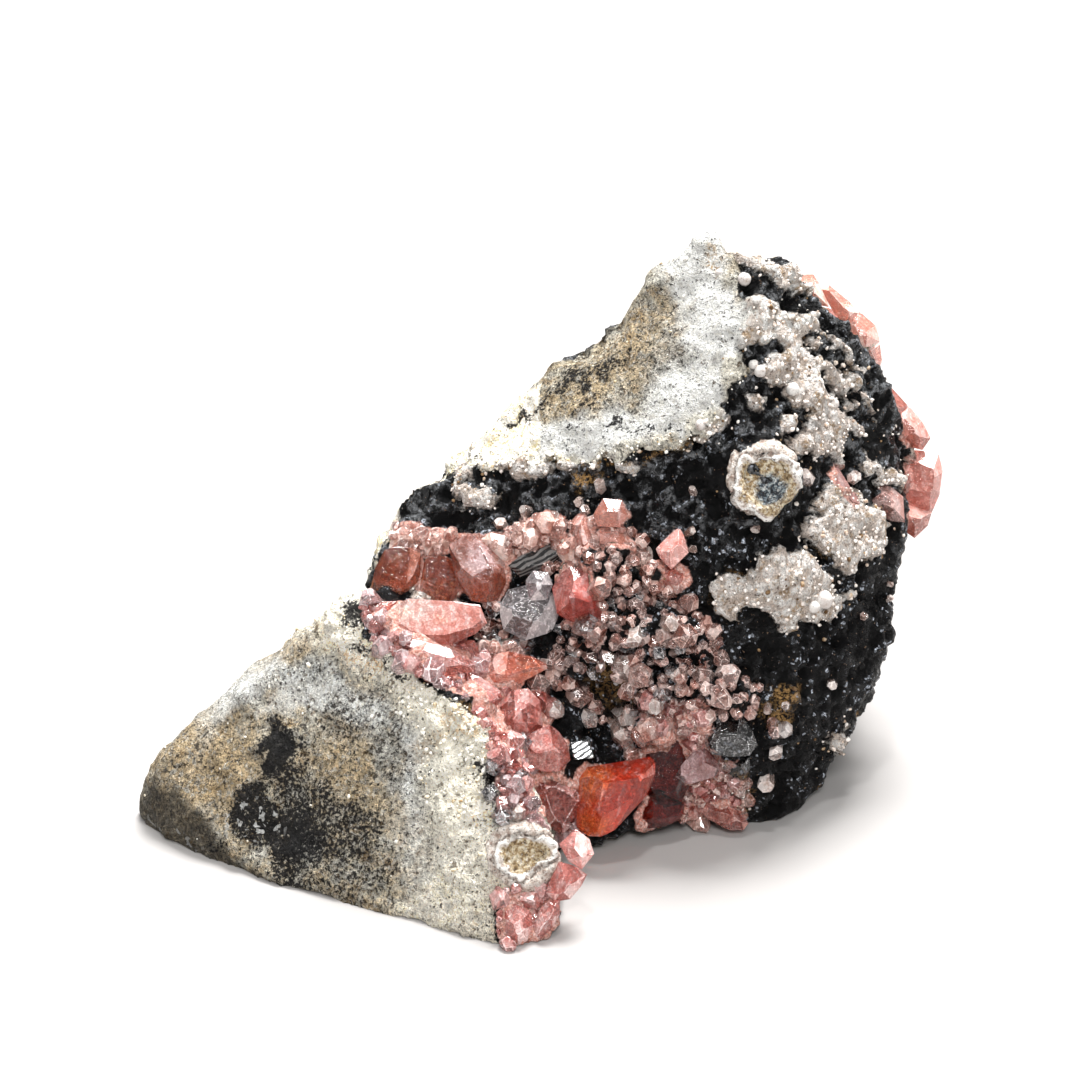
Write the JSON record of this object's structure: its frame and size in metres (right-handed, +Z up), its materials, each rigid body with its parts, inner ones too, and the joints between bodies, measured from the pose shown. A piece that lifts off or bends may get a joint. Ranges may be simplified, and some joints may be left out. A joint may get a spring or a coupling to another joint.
{
  "type": "mineral specimen",
  "caption": "Rhodochrosite on matrix: a broken pale vein stone part coated in black manganese oxide, set with red and pink rhodochrosite and clear quartz crystals.",
  "frame": {"origin": "a place on the flat underside of the stone's body, where it rests", "axes": "+X towards the specimen's tall right end, -Y towards its crystal side, +Z up from the surface it rests on"},
  "size_m": [0.1058, 0.0737, 0.0716],
  "materials": {
    "matrix_rock": "rough broken rock, pale on its broken faces and black and glossy elsewhere",
    "nodule_crust": "rough cream rim round a tan core",
    "red_rhodochrosite": "gemmy red to orange crystal",
    "mauve_rhodochrosite": "glossy mauve crystal",
    "clear_quartz": "clear glassy crystal",
    "dark_rhodochrosite": "dark red crystal in shade",
    "pink_rhodochrosite": "pink translucent crystal",
    "rose_rhodochrosite": "rose translucent crystal",
    "brown_rhodochrosite": "reddish-brown crystal, etched in places",
    "pale_rhodochrosite": "pale pink translucent crystal",
    "orange_rhodochrosite": "orange-pink translucent crystal",
    "grey_quartz": "cloudy grey translucent quartz",
    "black_mineral": "striated black blade with a dull sheen",
    "metallic_sulphide": "striated metallic crystal face",
    "peach_crust": "pale peach crystalline crust"
  },
  "bodies": {
    "root": {"matrix": "matrix_rock", "upper_nodule": "nodule_crust", "lower_nodule": "nodule_crust", "red_crystal": "red_rhodochrosite", "mauve_crystal": "mauve_rhodochrosite", "clear_quartz": "clear_quartz", "dark_red_crystals": "dark_rhodochrosite", "low_pink_crystals": "pink_rhodochrosite", "rose_crystal": "rose_rhodochrosite", "brown_crystals": "brown_rhodochrosite", "pale_pink_blade": "pale_rhodochrosite", "orange_crystal": "orange_rhodochrosite", "small_rose_crystals": "rose_rhodochrosite", "kite_crystal": "orange_rhodochrosite", "grey_quartz": "grey_quartz", "black_blade": "black_mineral", "metallic_cube": "metallic_sulphide", "edge_crystals": "pink_rhodochrosite", "toe_crystals": "pink_rhodochrosite", "peach_crystals": "peach_crust", "crest_crystals": "rose_rhodochrosite", "side_crystals": "rose_rhodochrosite", "mauve_fragment": "mauve_rhodochrosite", "rear_crystals": "rose_rhodochrosite"}
  },
  "joints": []
}
